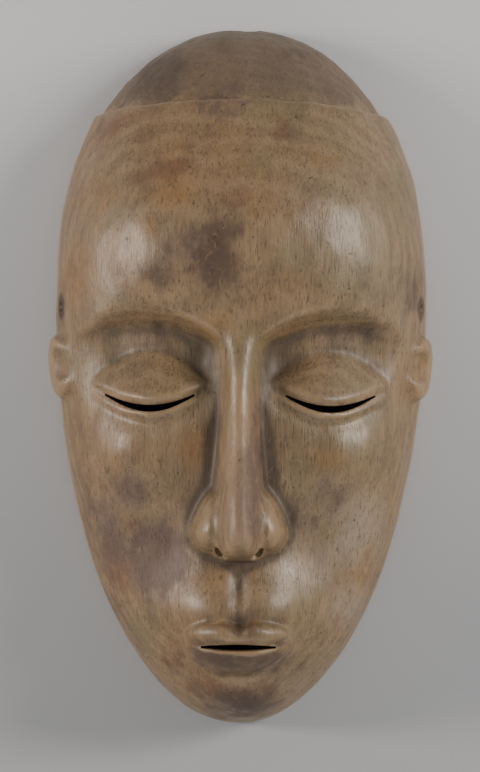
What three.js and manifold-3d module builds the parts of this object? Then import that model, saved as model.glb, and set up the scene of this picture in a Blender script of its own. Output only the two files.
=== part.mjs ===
// A carved wooden face mask that lies on its rim with the face up, in millimetres.
// The face looks along +Z, the crown points along +Y, and the rim stands on z = 0.
// It is one block of wood: domed in front, hollow behind, with pierced eyes and mouth and two tie holes.
import * as THREE from "three";
import { mergeVertices } from "three/addons/utils/BufferGeometryUtils.js";
import Module from "manifold-3d";

const wasm = await Module();
wasm.setup();

const { sqrt, sin, exp, abs, hypot, sign, max, min, PI } = Math;

// The block: its outline is an egg, widest above the middle
const height = 270;
const width = 145;
const capInset = 2.4;
const crownY = height / 2 + capInset;
const chinY = -height / 2;
const widestY = crownY - 0.407 * height;
const outlinePower = { upper: 2.4, lower: 2 };
const dome = { depth: 56, upperPower: 2.5, lowerPower: 4.6, sidePower: 2.5 };
const forehead = { y: 52, reach: 40, rise: 12 };
const rimRound = { radius: 1.4, height: 3 };
const capEdge = { y: 105.5, droop: 3.5, atX: 50, softness: 0.9 };

// The canon of the face: eyes at half the height, nose at three quarters, mouth at seven eighths
const eyeY = -3.5;
const noseBaseY = -height / 4 - 1.5;
const mouthY = (-3 * height) / 8;

const socket = { top: 8, arch: 19, bottom: -8, sag: 17, depth: 9, inner: 3, outer: 66 };
const eye = { inner: 11, outer: 57, sag: 8.5, lidRise: 13, lid: 8.5, lowerLid: 4.5 };
const nose = { rootY: 22, tipY: noseBaseY + 11, rise: 24, rootHalf: 7, growth: 4.5, roundsFrom: 0.8 };
const wing = { x: 11, half: 7.5, rise: 13, length: 17, base: 9, softness: 0.8 };
const nostril = { x: 6.6, up: 3, high: 7, halfX: 2.6, halfY: 4.6, halfZ: 3.6 };
const mouth = { half: 22, upper: 10, lower: 11, fullness: 8.5, bow: 2.4, curl: 1.6 };
const ear = { y: 3, z: 20, halfHeight: 13, halfDepth: 10.5, reach: 6.2, bowlDepth: 2.7 };

// The hollow and what pierces the wall
const wall = { side: 9.5, crown: 11.6, chin: 12, front: 13.5 };
const hollowSink = 3;
const eyeSlit = { from: 17, to: 51, high: 2.6, drop: 0.4 };
const mouthSlit = { half: 14, high: 2.8 };
const tieHole = { y: 26, z: 21, diameter: 4 };

// Eases from 0 at low to 1 at high
function ease(low, high, value) {
  const t = min(1, max(0, (value - low) / (high - low)));
  return t * t * (3 - 2 * t);
}

function mound(x, y, centreX, centreY, reachX, reachY, rise) {
  return rise * exp(-(((x - centreX) / reachX) ** 2) - ((y - centreY) / reachY) ** 2);
}

// An egg-shaped dome: its half width and its height along the middle, at each y
function eggDome({ side, crown, chin, depth, rise }) {
  const top = crownY - crown;
  const bottom = chinY + chin;
  const share = (y) => (y > widestY ? (y - widestY) / (top - widestY) : (y - widestY) / (widestY - bottom));
  const halfWidth = (y) => {
    const q = share(y);
    const power = q > 0 ? outlinePower.upper : outlinePower.lower;
    return (width / 2 - side) * sqrt(max(0, 1 - abs(q) ** power));
  };
  const crest = (y) => {
    const q = share(y);
    const edge = sqrt(max(0, 1 - abs(q) ** (q > 0 ? dome.upperPower : dome.lowerPower)));
    return depth * edge + mound(0, y, 0, forehead.y, 1, forehead.reach, rise) * ease(0, 0.6, edge);
  };
  return { top, bottom, halfWidth, crest };
}

// How far along the arch of the brow a point is: 0 at the nose and the temple, 1 in between
const browArch = (x) => sin(PI * min(1, max(0, (x - 1) / 71)));

function eyeSocket(x, y) {
  const arch = browArch(x);
  const brow = socket.top + socket.arch * arch ** 0.85;
  const cheek = socket.bottom - socket.sag * arch;
  const t = (brow - y) / (brow - cheek);
  if (t <= 0 || t >= 1) return 0;
  const across = ease(socket.inner, 15, x) * (1 - ease(44, socket.outer, x));
  return -socket.depth * ease(0, 0.2, t) * (1 - ease(0.3, 1, t)) * across;
}

// The line where the lids meet, sagging as in a lowered gaze
const lidBow = (x) => sin(PI * min(1, max(0, (abs(x) - eye.inner) / (eye.outer - eye.inner))));
const lidLine = (x) => eyeY - eye.sag * lidBow(x);

function eyelids(x, y) {
  const bow = lidBow(x);
  if (bow <= 0) return 0;
  const line = lidLine(x);
  const t = (y - line) / (eyeY + eye.lidRise * bow ** 0.85 - line);
  let rise = 0;
  if (t >= 0 && t < 1) rise = eye.lid * bow ** 0.75 * (1 - t ** 1.8);
  if (t < 0) rise = eye.lowerLid * bow ** 0.8 * (1 - ease(1.2, 7, line - y));
  return rise - mound(0, y, 0, line, 1, 1.8, 3) * bow ** 0.6;
}

// A straight ridge that grows from the brow, levels out over its last fifth and turns under in a round tip
const baseSag = (x) => 0.3 * (nose.tipY - noseBaseY) * min(1, (x / 17) ** 2);

function noseRidge(signedX, y) {
  const x = abs(signedX);
  const s = (nose.rootY - y) / (nose.rootY - nose.tipY);
  const below = max(0, nose.tipY - y) / (nose.tipY - noseBaseY - baseSag(x));
  if (s <= 0 || below >= 1) return 0;
  const level = 1 - nose.roundsFrom;
  const rounding = max(0, min(1, s) - nose.roundsFrom) ** 2 / (2 * level);
  const grown = (min(1, s) - rounding) / (1 - level / 2);
  const crest = nose.rise * (0.2 * ease(0, 0.3, s) + 0.8 * grown ** 1.5);
  const across = min(1, x / (nose.rootHalf + nose.growth * grown ** 2.5));
  return crest * sqrt(1 - below ** 2.4) * (1 - across ** 2.4) ** 1.4;
}

// A wing of the nose, drawn out upwards into the ridge
function noseWing(signedX, y) {
  const v = (y - nose.tipY) / (y > nose.tipY ? wing.length : wing.base);
  const climb = max(0, v);
  if (climb >= 1) return 0;
  const u = (abs(signedX) - wing.x + 3 * climb) / (wing.half - 2 * climb);
  return wing.rise * max(0, 1 - u * u - v * v) ** wing.softness;
}

// The higher of two forms, with a small fillet where they meet
function blend(a, b) {
  const fillet = min(8, 0.5 * (a + b));
  if (fillet <= 0) return max(a, b);
  const near = max(0, fillet - abs(a - b)) / fillet;
  return max(a, b) + (fillet * near * near) / 4;
}

// The broad forms of the face with the eyes, before the nose and the lips are laid on
function facePlanes(signedX, y) {
  const x = abs(signedX);
  const muzzle = mound(x, y, 0, mouthY + 5, 25, 21, 10) + mound(x, y, 14, mouthY + 14, 12, 12, 3.5);
  const chin = mound(x, y, 0, mouthY - 21, 15, 9, 7);
  const cheekbone = mound(x, y, 45, -29, 16, 14, 4);
  const cheekHollow = mound(x, y, 32, -64, 14, 20, -4.5);
  const philtrum = mound(x, y, 0, noseBaseY - 10, 3.2, 8, -2.2);
  const mouthCorner = mound(x, y, mouth.half + 1, mouthY + 1, 4, 4, -1.6);
  const lowerFace = muzzle + chin + cheekbone + cheekHollow + philtrum + mouthCorner;
  return lowerFace + eyeSocket(x, y) + eyelids(x, y);
}

const faceRelief = (x, y) => facePlanes(x, y) + blend(noseRidge(x, y), noseWing(x, y));

// Inside, the hollow follows the nose, the muzzle and the eye sockets in broad forms only
function hollowRelief(x, y) {
  const behindNose = mound(x, y, 0, nose.tipY + 20, 10, 26, 8);
  const behindMuzzle = mound(x, y, 0, mouthY + 8, 22, 18, 10);
  const behindSockets = mound(abs(x), y, 31, 12, 20, 16, -4);
  return behindNose + behindMuzzle + behindSockets;
}

// Positions that run through the stops, each stop with its own number of steps
function spread(start, stops) {
  const places = [start];
  for (const [stop, steps, curve = 1] of stops) {
    const from = places.at(-1);
    for (let k = 1; k <= steps; k++) {
      const t = curve > 0 ? (k / steps) ** curve : 1 - (1 - k / steps) ** -curve;
      places.push(from + (stop - from) * t);
    }
  }
  return places;
}

const mirrored = (half) => [...half.slice(1).reverse().map((u) => -u), ...half];

// The middle band of columns widens with the nose, so that its edges run along the nose and the lips
function columnX(column, y, form) {
  const half = form.halfWidth(y);
  const band = min(0.5 * half, 10 + 11 * ease(10, -55, y));
  const share = 0.3;
  const reach = abs(column);
  const x = reach < share ? (band * reach) / share : band + ((half - band) * (reach - share)) / (1 - share);
  return sign(column) * x;
}

const hairDroop = (x) => capEdge.droop * (x / capEdge.atX) ** 2;

// The rows near the hairline and the eyes sag with them, and those near the base of the nose curve with it
function rowShift(x, y) {
  const withHair = -hairDroop(x) * mound(0, y, 0, capEdge.y, 1, 9, 1);
  const withLids = (lidLine(x) - eyeY) * mound(0, y, 0, eyeY, 1, 12, 1);
  const withNose = baseSag(x) * (1 - ease(20, 40, abs(x))) * mound(0, y, 0, noseBaseY, 1, 8, 1);
  return withHair + withLids + withNose;
}

// The height of a dome with its relief, which fades out towards the rim
function surfaceHeight(form, relief, x, y) {
  const outward = abs(x) / max(form.halfWidth(y), 0.001);
  const side = sqrt(max(0, 1 - outward ** dome.sidePower));
  const fade = ease(0, 0.45, side) * ease(0, 0.5, form.crest(y) / dome.depth);
  return form.crest(y) * side + relief(x, y) * fade;
}

// Turns the diagonals of the left half over, so that both halves of the face are cut alike
function mirrorDiagonals(geometry, quadsInRow) {
  const index = geometry.index.array;
  const poleEntries = 3 * quadsInRow;
  for (let k = poleEntries; k < index.length - poleEntries; k += 6) {
    const column = ((k - poleEntries) / 6) % quadsInRow;
    const [a, b, d, , c] = index.slice(k, k + 6);
    if (column < quadsInRow / 2 - 1) index.set([a, b, c, a, c, d], k);
  }
}

// A closed solid from a sphere: its front half becomes the dome and its back half lies flat on z = 0
function domeGeometry(form, rows, columns, relief) {
  const across = columns.length;
  const geometry = new THREE.SphereGeometry(1, across + 1, rows.length - 1);
  mirrorDiagonals(geometry, across + 1);
  const position = geometry.attributes.position;
  rows.forEach((rowY, row) => {
    for (let i = 0; i <= across + 1; i++) {
      const column = i === across ? 0 : columns[i % (across + 1)];
      const x = columnX(column, rowY, form);
      const y = rowY + rowShift(x, rowY);
      const front = i > 0 && i < across - 1;
      position.setXYZ(row * (across + 2) + i, x, y, front ? surfaceHeight(form, relief, x, y) : 0);
    }
  });
  return geometry;
}

// Cuts the crown back above the hairline and rounds the outer edge of the rim
function trimOutside(geometry) {
  const position = geometry.attributes.position;
  const point = new THREE.Vector3();
  const heart = new THREE.Vector3(0, widestY, 0);
  for (let i = 0; i < position.count; i++) {
    point.fromBufferAttribute(position, i);
    const hairline = capEdge.y - hairDroop(point.x);
    const cap = ease(-capEdge.softness, capEdge.softness, point.y - hairline);
    const outward = point.clone().sub(heart).normalize();
    point.addScaledVector(outward, -capInset * cap);
    const rounding = rimRound.radius * (1 - ease(0, rimRound.height, point.z)) ** 2;
    outward.setZ(0).normalize();
    point.addScaledVector(outward, -rounding);
    position.setXYZ(i, point.x, point.y, point.z);
  }
  return geometry;
}

function solidOf(geometry) {
  const plain = geometry.clone();
  plain.deleteAttribute("normal");
  plain.deleteAttribute("uv");
  const merged = mergeVertices(plain, 1e-4);
  const mesh = new wasm.Mesh({
    numProp: 3,
    vertProperties: new Float32Array(merged.attributes.position.array),
    triVerts: new Uint32Array(merged.index.array),
  });
  return new wasm.Manifold(mesh);
}

function geometryOf(solid) {
  const { vertProperties, triVerts } = solid.getMesh();
  const geometry = new THREE.BufferGeometry();
  geometry.setAttribute("position", new THREE.BufferAttribute(vertProperties, 3));
  geometry.setIndex(new THREE.BufferAttribute(triVerts, 1));
  return geometry.toNonIndexed();
}

const faceDome = eggDome({ side: 0, crown: 0, chin: 0, depth: dome.depth, rise: forehead.rise });

function blockSolid() {
  const rows = spread(crownY, [
    [122, 4, 2],
    [capEdge.y + capEdge.softness, 3],
    [capEdge.y - capEdge.softness, 2],
    [36, 7],
    [24, 4],
    [-19, 13],
    [-40, 4],
    [nose.tipY, 8],
    [noseBaseY, 7, -1.6],
    [mouthY + 12, 4],
    [mouthY - 13, 6],
    [-126, 4],
    [chinY, 5, -2],
  ]);
  const columns = mirrored(spread(0, [[0.3, 8, -1.2], [0.8, 8], [1, 6, -2]]));
  return solidOf(trimOutside(domeGeometry(faceDome, rows, columns, faceRelief)));
}

// Full closed lips with a small dip in the middle of the upper one: a sphere that is pulled to shape,
// laid over the face and bedded in it
function lips() {
  const sunk = 5;
  const bed = 1.2;
  const geometry = new THREE.SphereGeometry(1, 20, 18).rotateZ(PI / 2);
  const position = geometry.attributes.position;
  for (let i = 0; i < position.count; i++) {
    const unit = new THREE.Vector3().fromBufferAttribute(position, i);
    const x = unit.x * mouth.half;
    const line = mouthY + mouth.curl * unit.x ** 2;
    const upper = mouth.upper - mound(x, 0, 0, 0, 3.4, 1, mouth.bow);
    const y = line + unit.y * (unit.y > 0 ? upper : mouth.lower);
    const z = surfaceHeight(faceDome, facePlanes, x, y) - bed;
    position.setXYZ(i, x, y, z + unit.z * (unit.z > 0 ? mouth.fullness + bed : sunk));
  }
  return solidOf(geometry);
}

function nostrilHole(side) {
  const x = side * nostril.x;
  const y = noseBaseY + nostril.up;
  const z = surfaceHeight(faceDome, facePlanes, x, y) + nostril.high;
  return ellipsoid(x, y, z, nostril.halfX, nostril.halfY, nostril.halfZ);
}

function hollowSolid() {
  const form = eggDome({ ...wall, depth: dome.depth - wall.front + hollowSink, rise: forehead.rise - 1 });
  const rows = spread(form.top, [[100, 5, 2], [-94, 15], [-114, 4], [form.bottom, 4, -2]]);
  const columns = mirrored(spread(0, [[0.8, 5], [1, 4, -2]]));
  return solidOf(domeGeometry(form, rows, columns, hollowRelief).translate(0, 0, -hollowSink));
}

function ellipsoid(x, y, z, halfX, halfY, halfZ) {
  return solidOf(new THREE.SphereGeometry(1, 14, 8).scale(halfX, halfY, halfZ).translate(x, y, z));
}

// A small ear on the wall, hollowed towards the face
function earSolid(side) {
  const x = side * (width / 2 - 4);
  const flap = ellipsoid(x, ear.y, ear.z, ear.reach, ear.halfHeight, ear.halfDepth);
  const bowlX = x + side * ear.reach;
  return flap.subtract(ellipsoid(bowlX, ear.y + 1, ear.z + 5.5, ear.bowlDepth, 0.6 * ear.halfHeight, 9));
}

// A thin blade through the wall that follows a line, pointed at its ends
function slitBlade(from, to, lineAt, high) {
  const steps = 10;
  const edge = (side) => {
    return Array.from({ length: steps + 1 }, (_, k) => {
      const x = from + ((to - from) * k) / steps;
      return new THREE.Vector2(x, lineAt(x) + side * (high / 2) * (0.25 + 0.75 * sin((PI * k) / steps)));
    });
  };
  const outline = new THREE.Shape([...edge(-1), ...edge(1).reverse()]);
  return solidOf(new THREE.ExtrudeGeometry(outline, { depth: 2 * dome.depth, bevelEnabled: false }));
}

function tieDrill() {
  const radius = tieHole.diameter / 2;
  const drill = new THREE.CylinderGeometry(radius, radius, 2 * width, 12);
  return solidOf(drill.rotateZ(PI / 2).translate(0, tieHole.y, tieHole.z));
}

function carveMask() {
  const eyeLine = (x) => lidLine(x) - eyeSlit.drop;
  const cuts = [
    hollowSolid(),
    slitBlade(eyeSlit.from, eyeSlit.to, eyeLine, eyeSlit.high),
    slitBlade(-eyeSlit.to, -eyeSlit.from, eyeLine, eyeSlit.high),
    slitBlade(-mouthSlit.half, mouthSlit.half, () => mouthY, mouthSlit.high),
    tieDrill(),
    nostrilHole(1),
    nostrilHole(-1),
  ];
  const forms = [blockSolid(), lips(), earSolid(1), earSolid(-1)];
  const block = forms.reduce((wood, form) => wood.add(form));
  const carved = geometryOf(cuts.reduce((wood, cut) => wood.subtract(cut), block));
  carved.computeBoundingBox();
  const middle = carved.boundingBox.getCenter(new THREE.Vector3());
  return carved.translate(-middle.x, -middle.y, 0);
}

const waxedWood = new THREE.MeshStandardMaterial({ color: 0x8a6a48, roughness: 0.45, metalness: 0 });

const mask = new THREE.Mesh(carveMask(), waxedWood);
mask.name = "mask";
mask.geometry.computeVertexNormals();

const carvedMask = new THREE.Group();
carvedMask.add(mask);

export default carvedMask;
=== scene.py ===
import bpy, bmesh, math
import numpy as np
from math import cos, exp, hypot, pi, sin, sqrt
from mathutils import Matrix, Vector, noise


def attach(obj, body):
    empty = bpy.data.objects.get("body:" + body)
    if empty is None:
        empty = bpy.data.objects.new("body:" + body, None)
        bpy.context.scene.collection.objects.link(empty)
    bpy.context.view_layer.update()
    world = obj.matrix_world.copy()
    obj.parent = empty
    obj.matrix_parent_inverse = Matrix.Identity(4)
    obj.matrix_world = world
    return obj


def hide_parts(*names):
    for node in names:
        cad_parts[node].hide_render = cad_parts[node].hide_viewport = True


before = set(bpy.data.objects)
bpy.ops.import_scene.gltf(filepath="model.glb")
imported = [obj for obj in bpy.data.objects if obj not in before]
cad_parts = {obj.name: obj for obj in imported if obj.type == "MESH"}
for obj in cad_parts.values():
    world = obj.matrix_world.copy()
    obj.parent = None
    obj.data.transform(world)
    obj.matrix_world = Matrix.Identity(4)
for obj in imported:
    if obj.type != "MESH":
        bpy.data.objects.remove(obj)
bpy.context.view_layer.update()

# The forms of the mask are worked out in millimetres, as a carver would measure them,
# and turned to metres once, when a mesh is finished.
mm = 0.001

# The block, as an egg-shaped dome that lies on its rim
block = dict(
    height=269.8, width=145, widestShare=0.407,
    upperPower=2.4, lowerPower=2,          # squarer above its widest line, round below
    depth=56, crownPower=2.5, chinPower=4.6, sidePower=2.5,
    foreheadY=52, foreheadReach=40, foreheadRise=12,
    capInset=2.4, capY=105.5, capDroop=3.5, capAtX=50, capSoftness=0.9,
    rimRadius=1.4, rimHeight=3,
)
crownY = block["height"] / 2 + block["capInset"]
chinY = -block["height"] / 2
widestY = crownY - block["widestShare"] * block["height"]

# The face, on a plain canon: eyes at half the height, base of the nose at three quarters,
# mouth halfway between nose and chin
eyeY = -3.5
noseBaseY = -block["height"] / 4 - 1.5
mouthY = -3 * block["height"] / 8
socket = dict(start=1, end=72, top=8, arch=19, bottom=-8, sag=17, depth=9, inner=3, outer=66)
eye = dict(inner=11, outer=57, sag=8.5, lidRise=13, lid=8.5, lowerLid=4.5)
nose = dict(rootY=22, tipY=noseBaseY + 11, rise=24, rootHalf=7, growth=4.5, roundsFrom=0.8)
wing = dict(x=11, half=7.5, rise=13, length=17, base=9, softness=0.8)
nostril = dict(x=6.6, up=3, high=7, halfX=2.6, halfY=4.6, halfZ=3.6)
mouth = dict(half=22, upper=10, lower=11, fullness=8.5, bow=2.4, curl=1.6)
ear = dict(y=3, z=20, halfHeight=13, halfDepth=10.5, reach=3.9, bowl=2.8, under=45)

# The soft forms of the face: place across and along, reach across and along, rise
planes = dict(
    muzzle=(0, mouthY + 5, 25, 21, 10),
    besideTheNose=(14, mouthY + 14, 12, 12, 3.5),
    chin=(0, mouthY - 21, 15, 9, 7),
    cheekbone=(45, -29, 16, 14, 4),
    cheekHollow=(32, -64, 14, 20, -4.5),
    philtrum=(0, noseBaseY - 10, 3.2, 8, -2.2),
    mouthCorner=(mouth["half"] + 1, mouthY + 1, 4, 4, -1.6),
)

# The hollow, its outline on the rim, what follows the face inside, and what goes through the wall
hollow = dict(side=9.5, crown=11.6, chin=12, depth=45.5, rise=11, sink=3, rimRadius=1.2)
hollowEdge = (crownY - hollow["crown"], chinY + hollow["chin"], hollow["side"])
behind = dict(
    nose=(0, nose["tipY"] + 20, 10, 26, 8),
    muzzle=(0, mouthY + 8, 22, 18, 10),
    sockets=(31, 12, 20, 16, -4),
)
eyeSlit = dict(start=17, end=51, high=2.6, drop=0.4)
mouthSlit = dict(half=14, high=2.8)
tieHole = dict(y=26, z=21, radius=2)


def ease(low, high, value):
    t = min(1, max(0, (value - low) / (high - low)))
    return t * t * (3 - 2 * t)


def mound(x, y, centreX, centreY, reachX, reachY, rise):
    return rise * exp(-((x - centreX) / reachX) ** 2 - ((y - centreY) / reachY) ** 2)


def shareOfLength(y, top, bottom):
    return (y - widestY) / (top - widestY if y > widestY else widestY - bottom)


def halfWidthAt(y, top=crownY, bottom=chinY, side=0):
    q = shareOfLength(y, top, bottom)
    power = block["upperPower"] if q > 0 else block["lowerPower"]
    return (block["width"] / 2 - side) * sqrt(max(0, 1 - abs(q) ** power))


def crestAt(y, top=crownY, bottom=chinY, depth=block["depth"], rise=block["foreheadRise"]):
    q = shareOfLength(y, top, bottom)
    edge = sqrt(max(0, 1 - abs(q) ** (block["crownPower"] if q > 0 else block["chinPower"])))
    forehead = mound(0, y, 0, block["foreheadY"], 1, block["foreheadReach"], rise)
    return depth * edge + forehead * ease(0, 0.6, edge)


def hairline(x):
    return block["capY"] - block["capDroop"] * (x / block["capAtX"]) ** 2


def eyeSocket(x, y):
    arch = sin(pi * min(1, max(0, (x - socket["start"]) / (socket["end"] - socket["start"]))))
    brow = socket["top"] + socket["arch"] * arch ** 0.85
    cheek = socket["bottom"] - socket["sag"] * arch
    t = (brow - y) / (brow - cheek)
    if t <= 0 or t >= 1:
        return 0
    across = ease(socket["inner"], 15, x) * (1 - ease(44, socket["outer"], x))
    return -socket["depth"] * ease(0, 0.2, t) * (1 - ease(0.3, 1, t)) * across


def lidBow(x):
    return sin(pi * min(1, max(0, (abs(x) - eye["inner"]) / (eye["outer"] - eye["inner"]))))


def lidLine(x):
    return eyeY - eye["sag"] * lidBow(x)


def eyelids(x, y):
    bow = lidBow(x)
    if bow <= 0:
        return 0
    line = lidLine(x)
    t = (y - line) / (eyeY + eye["lidRise"] * bow ** 0.85 - line)
    rise = 0
    if 0 <= t < 1:
        rise = eye["lid"] * bow ** 0.75 * (1 - t ** 1.8)
    if t < 0:
        rise = eye["lowerLid"] * bow ** 0.8 * (1 - ease(1.2, 7, line - y))
    return rise - mound(0, y, 0, line, 1, 1.8, 3) * bow ** 0.6


# A straight ridge that grows from the brow, levels out over its last fifth and ends in a round tip
def noseRidge(x, y):
    s = (nose["rootY"] - y) / (nose["rootY"] - nose["tipY"])
    base = (nose["tipY"] - noseBaseY) * (1 - 0.3 * min(1, (x / 17) ** 2))
    below = max(0, nose["tipY"] - y) / base
    if s <= 0 or below >= 1:
        return 0
    level = 1 - nose["roundsFrom"]
    grown = (min(1, s) - max(0, min(1, s) - nose["roundsFrom"]) ** 2 / (2 * level)) / (1 - level / 2)
    crest = nose["rise"] * (0.2 * ease(0, 0.3, s) + 0.8 * grown ** 1.5)
    across = min(1, x / (nose["rootHalf"] + nose["growth"] * grown ** 2.5))
    return crest * sqrt(1 - below ** 2.4) * (1 - across ** 2.4) ** 1.4


# A wing of the nose, drawn out upwards into the ridge
def noseWing(x, y):
    v = (y - nose["tipY"]) / (wing["length"] if y > nose["tipY"] else wing["base"])
    climb = max(0, v)
    if climb >= 1:
        return 0
    u = (x - wing["x"] + 3 * climb) / (wing["half"] - 2 * climb)
    return wing["rise"] * max(0, 1 - u * u - v * v) ** wing["softness"]


# Full closed lips with a dip in the middle of the upper one and a crease where they meet
def lips(x, y):
    u = x / mouth["half"]
    if u >= 1:
        return 0
    line = mouthY + mouth["curl"] * u * u
    upper = mouth["upper"] - mound(x, 0, 0, 0, 3.4, 1, mouth["bow"])
    v = (y - line) / (upper if y > line else mouth["lower"])
    swell = mouth["fullness"] * sqrt(max(0, 1 - u * u - v * v))
    return swell - mound(0, y, 0, line, 1, 1.7, 3.4) * sqrt(1 - u * u)


# The higher of two forms, with a fillet where they meet
def blend(a, b):
    fillet = min(8, 0.5 * (a + b))
    if fillet <= 0:
        return max(a, b)
    near = max(0, fillet - abs(a - b)) / fillet
    return max(a, b) + fillet * near * near / 4


def facePlanes(x, y):
    return sum(mound(x, y, *form) for form in planes.values()) + eyeSocket(x, y) + eyelids(x, y)


def faceRelief(signedX, y):
    x = abs(signedX)
    return facePlanes(x, y) + blend(noseRidge(x, y), noseWing(x, y)) + lips(x, y)


def hollowRelief(x, y):
    return sum(mound(abs(x), y, *form) for form in behind.values())


# The marks of the tools: sizes and depths of the cuts
marks = dict(
    swell=0.45, swellSize=34,                # slow unevenness of a form cut by eye
    facet=0.45, facetWide=9, facetLong=17,   # shallow knife cuts outside, worn soft by handling
    gouge=1.8, gougeWide=9, gougeLong=26,    # scooped cuts inside
    capRough=0.28, capSize=3.2,              # crust on the cap
    shift=(3.1, 0.4, 7.7),                   # moves the pattern of the cuts off the middle line
)


def scoops(x, y, z, wide, long):
    here = Vector((x / wide, y / long, z / wide)) + Vector(marks["shift"])
    return noise.voronoi(here, distance_metric="DISTANCE_SQUARED")[0][0]


def knifeMarks(x, y, z):
    here = Vector((x, y, z))
    slow = noise.noise(here / marks["swellSize"])
    quicker = 0.5 * noise.noise(here / (0.45 * marks["swellSize"]))
    cuts = min(scoops(x, y, z, marks["facetWide"], marks["facetLong"]), 0.5) * 2 - 0.5
    return marks["swell"] * (slow + quicker) + marks["facet"] * cuts


def gougeMarks(x, y, z):
    return marks["gouge"] * min(scoops(x, y, z, marks["gougeWide"], marks["gougeLong"]), 0.7)


def outsidePoint(x, y):
    halfWidth = max(halfWidthAt(y), 0.001)
    side = sqrt(max(0, 1 - (abs(x) / halfWidth) ** block["sidePower"]))
    crest = crestAt(y)
    z = crest * side + faceRelief(x, y) * ease(0, 0.45, side) * ease(0, 0.5, crest / block["depth"])
    cap = ease(-block["capSoftness"], block["capSoftness"], y - hairline(x))
    point = Vector((x, y, z))
    outward = Vector((x, y - widestY, z)).normalized()
    point -= outward * block["capInset"] * cap
    if z < ear["under"]:                   # a small ear on the wall, hollowed towards the face
        q = hypot((y - ear["y"]) / ear["halfHeight"], (z - ear["z"]) / ear["halfDepth"])
        bowl = hypot((y - ear["y"] - 1) / (0.6 * ear["halfHeight"]), (z - ear["z"] - 5.5) / 9)
        flap = (1 - ease(0.8, 1.06, q)) * (ear["reach"] - ear["bowl"] * (1 - ease(0.5, 0.95, bowl)))
        point.x += math.copysign(flap, x)
    flat = Vector((x, y - widestY, 0)).normalized()
    point -= flat * block["rimRadius"] * (1 - ease(0, block["rimHeight"], z)) ** 2
    uneven = knifeMarks(*point) - marks["swell"] * 0.9
    crust = marks["capRough"] * noise.noise(point / marks["capSize"]) * cap
    return point + outward * (uneven + crust) * ease(0, 6, z)


def hollowHeight(x, y):
    top, bottom, wall = hollowEdge
    halfWidth = max(halfWidthAt(y, top, bottom, wall), 0.001)
    side = sqrt(max(0, 1 - (abs(x) / halfWidth) ** block["sidePower"]))
    crest = crestAt(y, top, bottom, hollow["depth"], hollow["rise"])
    fade = ease(0, 0.45, side) * ease(0, 0.5, crest / block["depth"])
    return crest * side + hollowRelief(x, y) * fade - hollow["sink"] * side


def insidePoint(x, y):
    z = hollowHeight(x, y)
    point = Vector((x, y, max(0, z)))
    outward = Vector((x, y - widestY, z)).normalized()
    flat = Vector((x, y - widestY, 0)).normalized()
    point += flat * hollow["rimRadius"] * (1 - ease(0, 3, z)) ** 2
    return point - outward * gougeMarks(*point) * ease(0, 8, z)


# How much closer together the columns lie towards the rim, and the rows towards crown and chin
spread = dict(columns=0.55, rows=0.45)


# Half a sphere with its poles at crown and chin, open at the rim, moved point by point to a form
def carvedSheet(bm, columns, rows, place, top, bottom, side):
    made = bmesh.ops.create_uvsphere(bm, u_segments=2 * columns, v_segments=rows, radius=1)["verts"]
    bmesh.ops.rotate(bm, verts=made, matrix=Matrix.Rotation(-pi / 2, 3, "X"))
    front = [v for v in made if v.co.z > -1e-4]
    bmesh.ops.delete(bm, geom=[v for v in made if v.co.z <= -1e-4], context="VERTS")
    for v in front:
        turn = math.acos(max(-1, min(1, v.co.y))) / pi           # 0 at the crown, 1 at the chin
        across = math.atan2(max(0, v.co.z), v.co.x) / pi         # 0 and 1 at the two sides
        share = spread["columns"] * cos(pi * across) + (1 - spread["columns"]) * (1 - 2 * across)
        along = spread["rows"] * (1 - cos(pi * turn)) / 2 + (1 - spread["rows"]) * turn
        y = top + (bottom - top) * along
        atRim = v.co.z < 1e-4
        v[bm.verts.layers.float["turn"]] = turn * (1 if v.co.x >= 0 else -1)
        v.co = place(halfWidthAt(y, top, bottom, side) * share, y)
        if atRim:
            v.co.z = 0


# The flat rim: the outer edge is drawn inwards until it meets the edge of the hollow
def drawRimInwards(bm, outerEdges, innerEdges):
    turnOf = bm.verts.layers.float["turn"]
    innerSpot = {round(v[turnOf], 5): v.co.copy() for e in innerEdges for v in e.verts}
    drawn = bmesh.ops.extrude_edge_only(bm, edges=outerEdges)["geom"]
    for v in [g for g in drawn if isinstance(g, bmesh.types.BMVert)]:
        v.co = innerSpot[round(v[turnOf], 5)]


# A thin blade that cuts a slit along a line, pointed at its ends
blade = dict(steps=24, start=-1, length=110, endShare=0.25)


def slitBlade(name, start, end, lineAt, high):
    bm = bmesh.new()
    grid = bmesh.ops.create_grid(bm, x_segments=blade["steps"], y_segments=1, size=1)["verts"]
    for v in grid:
        t = (v.co.x + 1) / 2
        x = start + (end - start) * t
        half = high / 2 * (blade["endShare"] + (1 - blade["endShare"]) * sin(pi * t))
        v.co = Vector((x, lineAt(x) + v.co.y * half, blade["start"]))
    raised = bmesh.ops.extrude_face_region(bm, geom=bm.faces[:])["geom"]
    top = [g for g in raised if isinstance(g, bmesh.types.BMVert)]
    bmesh.ops.translate(bm, verts=top, vec=(0, 0, blade["length"]))
    return asObject(name, bm)


def eyeSlitLine(x):
    return lidLine(x) - eyeSlit["drop"]


def mouthSlitLine(x):
    return mouthY


def tieDrill(name):
    bm = bmesh.new()
    radius, length = tieHole["radius"], 2 * block["width"]
    bmesh.ops.create_cone(bm, cap_ends=True, segments=32, radius1=radius, radius2=radius, depth=length)
    bmesh.ops.rotate(bm, verts=bm.verts, matrix=Matrix.Rotation(pi / 2, 3, "Y"))
    bmesh.ops.translate(bm, verts=bm.verts, vec=(0, tieHole["y"], tieHole["z"]))
    return asObject(name, bm)


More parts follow.
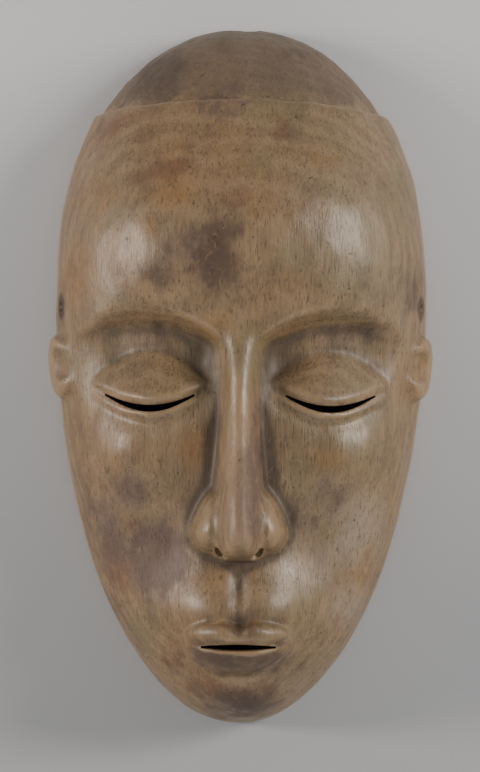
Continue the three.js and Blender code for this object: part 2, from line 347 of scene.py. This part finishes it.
# A rounded hole in the underside of the nose
def nostrilGouge(name, side):
    x, y = side * nostril["x"], noseBaseY + nostril["up"]
    z = crestAt(y) + facePlanes(abs(x), y) + nostril["high"]
    bm = bmesh.new()
    bmesh.ops.create_uvsphere(bm, u_segments=32, v_segments=20, radius=1)
    bmesh.ops.scale(bm, verts=bm.verts, vec=(nostril["halfX"], nostril["halfY"], nostril["halfZ"]))
    bmesh.ops.translate(bm, verts=bm.verts, vec=(x, y, z))
    return asObject(name, bm)


# Turns a bmesh in millimetres to an object in metres, closed and with its faces outwards
def asObject(name, bm):
    bmesh.ops.remove_doubles(bm, verts=bm.verts, dist=0.01)
    bmesh.ops.recalc_face_normals(bm, faces=bm.faces)
    bmesh.ops.scale(bm, verts=bm.verts, vec=(mm, mm, mm))
    mesh = bpy.data.meshes.new(name)
    bm.to_mesh(mesh)
    bm.free()
    made = bpy.data.objects.new(name, mesh)
    bpy.context.scene.collection.objects.link(made)
    return made


def cut(piece, cutters):
    for cutter in cutters:
        step = piece.modifiers.new(cutter.name, "BOOLEAN")
        step.operation, step.solver, step.object = "DIFFERENCE", "EXACT", cutter
    graph = bpy.context.evaluated_depsgraph_get()
    carved = bpy.data.meshes.new_from_object(piece.evaluated_get(graph))
    piece.modifiers.clear()
    piece.data = carved
    for cutter in cutters:
        bpy.data.objects.remove(cutter)


print("stage 1: camera, floor and light")

view = dict(
    frameHeight=300.6 * mm,      # what the picture shows from top to bottom, at the rim
    distance=1.3,
    middle=(-0.05 * mm, -3.85 * mm),
    roll=math.radians(0.4),
)
camera = bpy.data.objects.new("camera", bpy.data.cameras.new("camera"))
camera.data.sensor_width = 36
camera.data.lens = 36 * view["distance"] / view["frameHeight"]
camera.location = (*view["middle"], view["distance"])
camera.rotation_euler = (0, 0, view["roll"])
bpy.context.scene.collection.objects.link(camera)
bpy.context.scene.camera = camera


def linear(hexColour, alpha=1):
    parts = [int(hexColour[i:i + 2], 16) / 255 for i in (1, 3, 5)]
    return (*[c / 12.92 if c <= 0.04045 else ((c + 0.055) / 1.055) ** 2.4 for c in parts], alpha)


# Adds a node with its settings, and its inputs as values or links
def addNode(tree, kind, inputs=None, **settings):
    made = tree.nodes.new(kind)
    for name, value in settings.items():
        setattr(made, name, value)
    for name, value in (inputs or {}).items():
        if isinstance(value, bpy.types.NodeSocket):
            tree.links.new(value, made.inputs[name])
        else:
            made.inputs[name].default_value = value
    return made


def newMaterial(name):
    made = bpy.data.materials.new(name)
    made.use_nodes = True
    return made, made.node_tree, made.node_tree.nodes["Principled BSDF"]


# The paper is painted paler towards the crown, over the length fade and turned a little: painted light
# falloff. Each softbox is a strip that runs between two directions, given as azimuth and elevation.
studio = dict(
    floorPaintedLight="#CDCED0", floorPaintedShade="#A7A8A9", floorSize=40,
    fade=0.3, fadeMiddle=-0.01, fadeTurn=-4,
    distance=1.65,
    left=dict(ends=((179, 10), (171, 36)), width=0.24, power=19.5, colour="#FFF1E5"),
    right=dict(ends=((5, 19), (30, 40)), width=0.26, power=22, colour="#FFF5EC"),
    below=dict(ends=((-130, 24), (-50, 24)), width=0.7, power=4.5, colour="#FFFDFA"),
    air="#B6BCC2", airStrength=0.65,
)


def makeFloor():
    bm = bmesh.new()
    bmesh.ops.create_grid(bm, x_segments=1, y_segments=1, size=studio["floorSize"] / 2 / mm)
    floor = asObject("floor", bm)
    # Matt paper with no gloss; its soft change of grey is painted light falloff, paler towards the crown
    paper, tree, shader = newMaterial("matt backdrop paper with painted falloff")
    place = addNode(tree, "ShaderNodeTexCoord").outputs["Object"]
    turn = (0, 0, math.radians(studio["fadeTurn"]))
    turned = addNode(tree, "ShaderNodeMapping", {"Vector": place, "Rotation": turn})
    along = addNode(tree, "ShaderNodeSeparateXYZ", {"Vector": turned.outputs[0]}).outputs["Y"]
    share = addNode(tree, "ShaderNodeMapRange", {
        "Value": along,
        "From Min": studio["fadeMiddle"] - studio["fade"] / 2,
        "From Max": studio["fadeMiddle"] + studio["fade"] / 2,
    }, interpolation_type="SMOOTHSTEP").outputs["Result"]
    dark, pale = linear(studio["floorPaintedShade"]), linear(studio["floorPaintedLight"])
    paintedFalloffGrey = addNode(tree, "ShaderNodeMix", {0: share, 6: dark, 7: pale}, data_type="RGBA").outputs[2]
    tree.links.new(paintedFalloffGrey, shader.inputs["Base Color"])
    shader.inputs["Roughness"].default_value = 0.9
    floor.data.materials.append(paper)


def towards(azimuth, elevation):
    a, e = math.radians(azimuth), math.radians(elevation)
    return Vector((cos(e) * cos(a), cos(e) * sin(a), sin(e))) * studio["distance"]


def makeSoftbox(name):
    settings = studio[name]
    low, high = [towards(*end) for end in settings["ends"]]
    lamp = bpy.data.lights.new(name + " softbox", "AREA")
    lamp.shape, lamp.size, lamp.size_y = "RECTANGLE", settings["width"], (high - low).length
    lamp.energy, lamp.color = settings["power"], linear(settings["colour"])[:3]
    softbox = bpy.data.objects.new(lamp.name, lamp)
    middle = (low + high) / 2
    back, along = middle.normalized(), (high - low).normalized()
    across = along.cross(back).normalized()
    turned = Matrix((across, back.cross(across), back)).transposed().to_4x4()
    softbox.matrix_world = Matrix.Translation(middle) @ turned
    bpy.context.scene.collection.objects.link(softbox)


makeFloor()
makeSoftbox("left")
makeSoftbox("right")
makeSoftbox("below")
world = bpy.data.worlds.new("studio air")
world.use_nodes = True
world.node_tree.nodes["Background"].inputs["Color"].default_value = linear(studio["air"])
world.node_tree.nodes["Background"].inputs["Strength"].default_value = studio["airStrength"]
bpy.context.scene.world = world

print("stage 2: carving the mask")

# How finely the mask is carved; no edge stays shorter than the last value, in mm
carving = dict(rows=340, outsideColumns=170, insideColumns=70, sanding=2, sandedOver=2, shortest=0.004)


def carveMask():
    bm = bmesh.new()
    bm.verts.layers.float.new("turn")
    carvedSheet(bm, carving["outsideColumns"], carving["rows"], outsidePoint, crownY, chinY, 0)
    front = [v for v in bm.verts if v.co.z > carving["sandedOver"]]
    allAxes = dict(use_axis_x=True, use_axis_y=True, use_axis_z=True)
    for _ in range(carving["sanding"]):
        bmesh.ops.smooth_vert(bm, verts=front, factor=0.5, **allAxes)
    outerEdges = [e for e in bm.edges if e.is_boundary]
    carvedSheet(bm, carving["insideColumns"], carving["rows"], insidePoint, *hollowEdge)
    innerEdges = [e for e in bm.edges if e.is_boundary and e not in set(outerEdges)]
    drawRimInwards(bm, outerEdges, innerEdges)
    mask = asObject("carved_mask", bm)
    start, end, half = eyeSlit["start"], eyeSlit["end"], mouthSlit["half"]
    cut(mask, [
        slitBlade("left eye slit", -end, -start, eyeSlitLine, eyeSlit["high"]),
        slitBlade("right eye slit", start, end, eyeSlitLine, eyeSlit["high"]),
        slitBlade("mouth slit", -half, half, mouthSlitLine, mouthSlit["high"]),
        nostrilGouge("left nostril", -1),
        nostrilGouge("right nostril", 1),
        tieDrill("tie holes"),
    ])
    cleanAndCentre(mask)
    return mask


def cleanAndCentre(mask):
    bm = bmesh.new()
    bm.from_mesh(mask.data)
    bmesh.ops.remove_doubles(bm, verts=bm.verts, dist=carving["shortest"] * mm)
    bmesh.ops.dissolve_degenerate(bm, edges=bm.edges, dist=carving["shortest"] * mm)
    middle = (min(v.co.y for v in bm.verts) + max(v.co.y for v in bm.verts)) / 2
    bmesh.ops.translate(bm, verts=bm.verts, vec=(0, -middle, 0))
    bm.to_mesh(mask.data)
    bm.free()
    for polygon in mask.data.polygons:
        polygon.use_smooth = True


mask = carveMask()
print("  mask:", sum(len(p.vertices) - 2 for p in mask.data.polygons), "triangles")

print("stage 3: where age has marked the wood")

# Where smoke, clay and wax have coloured the wood, with painted shade and a painted sheen among them:
# x, y, reach across and along, turn, strength
stains = dict(
    # Painted shade among the soot: the bands at (-35, -11) and (35, -11) along the eye slits, the spots
    # at (-11, -62) and (16, -63) beside the nose wings, and the spot at (2, -92) under the nose. The
    # patches at (-9, -105), (12, -107) and (1, -125) darken the mouth and the chin, partly as soot,
    # partly as painted shade.
    sootAndPaintedShade=[
        (-8, 53, 19, 7, 8, 0.8), (-9, 42, 11, 12, 0, 1.1), (-33, 37, 11, 6, -12, 0.8),
        (-13, 45, 26, 16, 0, 0.45), (-69, 24, 4, 9, 0, 0.7), (-35, -11, 20, 5, 0, 0.7),
        (35, -11, 20, 5, 0, 0.75), (-50, -86, 6, 14, 28, 0.55), (66, 29, 5, 11, 0, 0.7),
        (-9, -105, 17, 8, -8, 0.95), (12, -107, 15, 8, 8, 0.9), (2, -92, 12, 8, 0, 0.8),
        (1, -125, 18, 9, 0, 1.0), (28, -54, 5, 5, 0, 0.5), (-11, -62, 6, 6, 0, 0.4),
        (16, -63, 5, 5, 0, 0.35), (-54, 0, 8, 5, 0, 0.6), (55, 12, 7, 9, 0, 0.35),
        (-31, 115, 13, 10, 30, 1.25), (20, 123, 10, 6, -20, 0.5), (8, 22, 7, 7, 0, 0.6),
    ],
    rust=[
        (-46, -72, 7, 14, 22, 0.9), (-39, -58, 8, 8, 10, 0.6), (0, 67, 15, 6, 0, 0.5),
        (-48, 95, 12, 6, 35, 0.8), (-26, 77, 13, 5, 20, 0.7), (14, 92, 4, 9, 0, 0.6),
        (-23, -107, 8, 6, 20, 0.6), (-14, -118, 9, 5, 10, 0.8), (-36, 14, 14, 6, 0, 0.5),
        (0, -120, 16, 8, 0, 0.7),
    ],
    plum=[
        (-41, -45, 9, 8, 10, 0.8), (-31, -68, 12, 15, -12, 1.25), (-49, -62, 9, 18, 16, 0.8),
        (3, -40, 7, 28, -2, 0.8), (31, -46, 12, 12, 0, 0.5), (-8, 103, 16, 8, 0, 0.5),
        (50, 18, 10, 10, 0, 0.4), (-15, 46, 20, 11, 0, 0.5),
    ],
    ochre=[
        (-48, 48, 9, 14, 25, 0.8), (-25, 67, 10, 8, 30, 1.0), (-36, 54, 9, 5, 35, 0.9),
        (-52, 66, 12, 14, 0, 0.7), (-62, 38, 8, 18, 0, 0.8), (-17, -27, 8, 10, 0, 1.0),
        (-66, -12, 5, 16, 8, 0.4), (32, -31, 10, 6, 0, 0.8), (41, -81, 7, 12, -20, 0.9),
        (-10, 20, 9, 6, 0, 0.7), (52, -56, 8, 12, -10, 0.5), (30, 82, 12, 8, 0, 0.6),
        (-57, -10, 6, 12, 0, 0.6),
    ],
    # Pale grey patches on the right cheek, jaw and side: painted sheen, where a broad reflection falls
    paintedSheen=[
        (45, -58, 13, 20, -14, 0.9), (41, -86, 10, 13, -25, 0.8), (60, 20, 8, 20, 0, 0.4),
    ],
    olive=[
        (13, 102, 16, 8, 0, 0.6), (8, 81, 12, 10, 0, 0.6), (60, 66, 9, 20, 6, 0.9),
        (42, 35, 18, 9, 0, 0.7), (20, 44, 12, 10, 0, 0.6), (4, 8, 10, 15, 0, 1.0),
        (53, -58, 9, 16, -14, 0.7), (22, -40, 5, 14, 0, 0.6), (-36, -96, 9, 10, 25, 0.7),
        (-38, 27, 14, 6, 0, 0.5), (33, 94, 12, 8, 0, 0.4),
    ],
)
# Rounds of smoothing that tell edges from hollows, the grime of cord and hands round the tie holes and on
# the rim, how far from the hairline the cap's field runs, and how much each thing keeps wear away
bareness = dict(nearRounds=14, farRounds=90)
grime = dict(reach=5, depth=2.4, onRim=0.6)
capEdge = 20
spares = dict(cap=0.7, stain=0.75, hollow=0.7)


def stainField(points, spots):
    field = np.zeros(len(points))
    for x, y, across, along, turn, strength in spots:
        c, s = cos(math.radians(turn)), sin(math.radians(turn))
        u = ((points[:, 0] - x) * c + (points[:, 1] - y) * s) / across
        v = ((points[:, 1] - y) * c - (points[:, 0] - x) * s) / along
        field = np.maximum(field, strength * np.exp(-(u * u + v * v)))
    return field


# How far each point lies below its smoothed surroundings: hollows above 0, edges below
def hollowness(points, normals, edges, rounds):
    count = np.bincount(edges.ravel(), minlength=len(points))[:, None]
    smooth = points.copy()
    for _ in range(rounds):
        total = np.zeros_like(points)
        for k in range(3):
            total[:, k] = np.bincount(edges[:, 0], smooth[edges[:, 1], k], len(points))
            total[:, k] += np.bincount(edges[:, 1], smooth[edges[:, 0], k], len(points))
        smooth = 0.5 * smooth + 0.5 * total / count
    return ((smooth - points) * normals).sum(1)


# 1 on the walls of the hollow, less on the rim, 0 outside
def insideField(points):
    top, bottom, wall = hollowEdge
    within = []
    for x, y, z in points:
        if z <= 0.01:
            within.append(grime["onRim"])
        elif abs(x) < halfWidthAt(y, top, bottom, wall):
            within.append(1 - ease(0.5, 4, z - hollowHeight(x, y)))
        else:
            within.append(0)
    return np.array(within)


def readMesh(mesh):
    points = np.empty(len(mesh.vertices) * 3)
    normals = np.empty(len(mesh.vertices) * 3)
    edges = np.empty(len(mesh.edges) * 2, dtype=np.int64)
    mesh.vertices.foreach_get("co", points)
    mesh.vertices.foreach_get("normal", normals)
    mesh.edges.foreach_get("vertices", edges)
    return points.reshape(-1, 3) / mm, normals.reshape(-1, 3), edges.reshape(-1, 2)


# Writes where each kind of age lies as attributes of the mesh
def ageMask(mask):
    points, normals, edges = readMesh(mask.data)
    inside = insideField(points)
    fields = {kind: stainField(points, spots) * (1 - inside) for kind, spots in stains.items()}
    overHairline = points[:, 1] - np.array([hairline(x) for x in points[:, 0]])
    onCap = np.clip(overHairline / 3, 0, 1) * (1 - inside)
    stained = np.minimum(1, np.maximum.reduce([fields[kind] for kind in ("plum", "sootAndPaintedShade", "olive")]))
    fromHole = np.hypot(points[:, 1] - tieHole["y"], points[:, 2] - tieHole["z"])
    atHole = np.exp(-(fromHole / grime["reach"]) ** 4)
    bare = (1 - spares["cap"] * onCap) * (1 - spares["stain"] * stained)
    bare *= (1 - spares["hollow"] * inside) * (1 - atHole)
    edgeHeight = -hollowness(points, normals, edges, bareness["nearRounds"])
    hollowDepth = hollowness(points, normals, edges, bareness["farRounds"])
    fields["wear"] = edgeHeight * bare
    fields["dirt"] = np.maximum(hollowDepth, grime["depth"] * atHole)
    fields["cap"] = np.clip(overHairline, -capEdge, capEdge) * (1 - inside) - capEdge * inside
    fields["inside"] = inside
    for name, values in fields.items():
        attribute = mask.data.attributes.new(name, "FLOAT", "POINT")
        attribute.data.foreach_set("value", values.astype(np.float32))
    return list(fields)


ages = ageMask(mask)

print("stage 4: finish")

# A dense brown hardwood cut with a knife, oiled, waxed and handled for decades: long fibres with dark
# pores along Y, a thin mottled skin of soot and wax, with painted shade and a painted sheen in places,
# rubbed through on the edges, and a soft broad gloss
woodLook = dict(
    colours=dict(
        # The soot colour also paints shade in places, and the pale grey after olive paints a sheen
        mid="#8B7456", pale="#A38A68", deep="#6B553D", worn="#AA8E6A", sootAndPaintedShade="#463327", rust="#6E4A31",
        plum="#5F4B42", ochre="#8C693F", olive="#736848", paintedSheen="#9E9282", wax="#554230", cap="#55493D",
        dirt="#2E231A", hollow="#54412F",
    ),
    # What breaks up the grain and the skin: width and length in mm, detail, roughness, shift from the
    # others, turn in degrees
    patterns=dict(
        fibres=(0.9, 18, 5, 0.6, 0, 0),         # bundles of fibres; one fibre is too fine to show
        streaks=(2.6, 34, 5, 0.6, 47, 0),
        pores=(0.6, 5, 1, 0.4, 31, 0),          # real pores are 0.2 mm wide, drawn coarser to show
        mottle=(12, 18, 8, 0.62, 5, 0),
        blotches=(5.5, 8, 6, 0.6, 91, 0),
        speckle=(2.2, 2.2, 6, 0.65, 11, 0),
        patches=(42, 42, 3, 0.5, 19, 0),
        scratches=(0.6, 17, 1, 0.4, 3, 34),     # drawn coarser than the real hairlines
        crossScratches=(0.6, 17, 1, 0.4, 77, -58),
    ),
    # Growth rings round a heart that ran below the block, along Y, and small dents: sizes in mm
    ringWidth=4.2, heart=(9, 0, -70), ringStretch=0.07, dentSpacing=8.5,
    # The coats in the order they were laid: colour, what it follows, what frays its edge and by how
    # much, where it starts, where it is full, and how much it covers there
    coats=dict(
        fibres=("mid", "fibres", {}, 0.3, 0.7, 0.75),
        streaks=("mid", "streaks", {}, 0.42, 0.62, 0.45),
        rings=("pale", "rings", {}, 0.3, 0.95, 0.22),
        hollow=("hollow", "inside", {}, 0, 1, 0.7),
        ochreTone=("ochre", "patches", {}, 0.45, 0.7, 0.35),
        oliveTone=("olive", "patches", {}, 0.52, 0.3, 0.4),
        olive=("olive", "olive", dict(mottle=1.4, blotches=0.5, streaks=0.4), 0.2, 0.85, 0.6),
        ochre=("ochre", "ochre", dict(mottle=1.4, blotches=0.5, streaks=0.4), 0.2, 0.85, 0.6),
        # A pale grey painted sheen on the right cheek, jaw and side
        paintedSheen=("paintedSheen", "paintedSheen", dict(mottle=1.2, speckle=0.5), 0.2, 0.9, 0.5),
        rust=("rust", "rust", dict(mottle=1.4, blotches=0.7, streaks=0.5), 0.2, 0.8, 0.6),
        plum=("plum", "plum", dict(mottle=1.4, blotches=0.8, streaks=0.5), 0.15, 0.75, 0.85),
        # Soot, and painted shade along the eye slits, beside the nose wings, under the nose, at mouth and
        # chin
        sootAndPaintedShade=("sootAndPaintedShade", "sootAndPaintedShade", dict(mottle=1.3, blotches=1.0, streaks=0.6), 0.2, 1.0, 0.85),
        wax=("wax", "mottle", dict(speckle=0.5, streaks=0.2), 0.47, 0.66, 0.38),
        rubbed=("worn", "blotches", dict(speckle=0.4), 0.56, 0.78, 0.3),
        cap=("cap", "cap", dict(mottle=14, streaks=5), -3, 4, 0.6),
        pores=("dirt", "pores", {}, 0.6, 0.68, 0.45),
        wear=("worn", "wear", dict(mottle=0.8, speckle=0.4, streaks=0.4), 0.14, 0.6, 0.42),
        specks=("worn", "speckle", {}, 0.62, 0.72, 0.22),
        dirt=("dirt", "dirt", dict(mottle=1.2, blotches=0.8, speckle=0.5, streaks=0.6), 0.3, 1.8, 0.68),
        dents=("dirt", "dents", dict(speckle=0.12), 0.088, 0.035, 0.6),
        scratches=("worn", "scratches", {}, 0.7, 0.75, 0.2),
        crossScratches=("worn", "crossScratches", {}, 0.7, 0.75, 0.2),
    ),
    ior=1.5, coat=0.14, coatRoughness=0.34,
    smoothest=0.25,
    rougher=dict(mottle=0.3, cap=0.14, dirt=0.25, hollow=0.32, sootAndPaintedShade=0.12, plum=0.3, wear=-0.05),
    relief=dict(fibres=0.35, speckle=0.3, pores=-0.35, dents=-1, scratches=-0.25, crossScratches=-0.25),
    reliefDepth=0.3, reliefStrength=0.4, softDepth=0.8, softStrength=0.5,     # depths in mm
)


# At a scale of 1 the wave texture draws its rings this far apart
waveSpacing = 0.314


# Every pattern as a value from 0 to 1 at each point
def woodPatterns(tree, inMm):
    look, patterns = woodLook, {}
    for name, (width, length, detail, roughness, shift, turn) in look["patterns"].items():
        turned = addNode(tree, "ShaderNodeMapping", {
            "Vector": inMm, "Rotation": (0, 0, math.radians(turn)),
        })
        drawnOut = addNode(tree, "ShaderNodeMapping", {
            "Vector": turned.outputs[0], "Location": (shift, shift, shift),
            "Scale": (1, width / length, 1),
        })
        patterns[name] = addNode(tree, "ShaderNodeTexNoise", {
            "Vector": drawnOut.outputs[0], "Scale": 1 / width, "Detail": detail, "Roughness": roughness,
        }).outputs["Fac"]
    fromHeart = addNode(tree, "ShaderNodeMapping", {
        "Vector": inMm, "Location": [-c for c in look["heart"]],
        "Scale": (1, look["ringStretch"], 1),
    })
    patterns["rings"] = addNode(tree, "ShaderNodeTexWave", {
        "Vector": fromHeart.outputs[0], "Scale": waveSpacing / look["ringWidth"],
        "Distortion": 9, "Detail": 4, "Detail Scale": 0.3, "Detail Roughness": 0.65,
    }, wave_type="RINGS", rings_direction="Y").outputs["Fac"]
    patterns["dents"] = addNode(tree, "ShaderNodeTexVoronoi", {
        "Vector": inMm, "Scale": 1 / look["dentSpacing"],
    }).outputs["Distance"]
    return patterns


# Adds shares of several values to a start
def addShares(tree, start, values, shares):
    total = start
    for name, share in shares.items():
        inputs = {0: values[name], 1: share, 2: total}
        total = addNode(tree, "ShaderNodeMath", inputs, operation="MULTIPLY_ADD").outputs[0]
    return total


# Lays a coat over the colour below it, and gives the new colour and where the coat lies, from 0 to 1
def layCoat(tree, fields, below, coat):
    colour, follows, frays, start, full, covers = coat
    offset = sum(frays.values()) / 2
    place = addShares(tree, fields[follows], fields, frays)
    where = addNode(tree, "ShaderNodeMapRange", {
        "Value": place, "From Min": start + offset, "From Max": full + offset,
    }, interpolation_type="SMOOTHSTEP").outputs["Result"]
    thickness = addNode(tree, "ShaderNodeMath", {0: where, 1: covers}, operation="MULTIPLY").outputs[0]
    above = addNode(tree, "ShaderNodeMix", {
        0: thickness, 6: below, 7: linear(woodLook["colours"][colour]),
    }, data_type="RGBA").outputs[2]
    return above, where


def waxedWood():
    look = woodLook
    wood, tree, shader = newMaterial("waxed hardwood")
    place = addNode(tree, "ShaderNodeTexCoord").outputs["Object"]
    perMm = (1 / mm, 1 / mm, 1 / mm)
    inMm = addNode(tree, "ShaderNodeMapping", {"Vector": place, "Scale": perMm}).outputs[0]
    fields = woodPatterns(tree, inMm)
    for name in ages:
        fields[name] = addNode(tree, "ShaderNodeAttribute", attribute_name=name).outputs["Fac"]
    colour, coats = linear(look["colours"]["deep"]), {}
    for name, coat in look["coats"].items():
        colour, coats[name] = layCoat(tree, fields, colour, coat)
    values = {**fields, **coats}
    fine = addNode(tree, "ShaderNodeBump", {
        "Height": addShares(tree, 0, values, look["relief"]),
        "Strength": look["reliefStrength"], "Distance": look["reliefDepth"] * mm,
    })
    soft = addNode(tree, "ShaderNodeBump", {
        "Height": values["mottle"], "Normal": fine.outputs[0],
        "Strength": look["softStrength"], "Distance": look["softDepth"] * mm,
    })
    roughness = addShares(tree, look["smoothest"], values, look["rougher"])
    tree.links.new(colour, shader.inputs["Base Color"])
    tree.links.new(roughness, shader.inputs["Roughness"])
    tree.links.new(soft.outputs[0], shader.inputs["Normal"])
    shader.inputs["IOR"].default_value = look["ior"]
    shader.inputs["Coat Weight"].default_value = look["coat"]
    shader.inputs["Coat Roughness"].default_value = look["coatRoughness"]
    return wood


mask.data.materials.clear()
mask.data.materials.append(waxedWood())
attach(mask, "root")
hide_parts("mask")
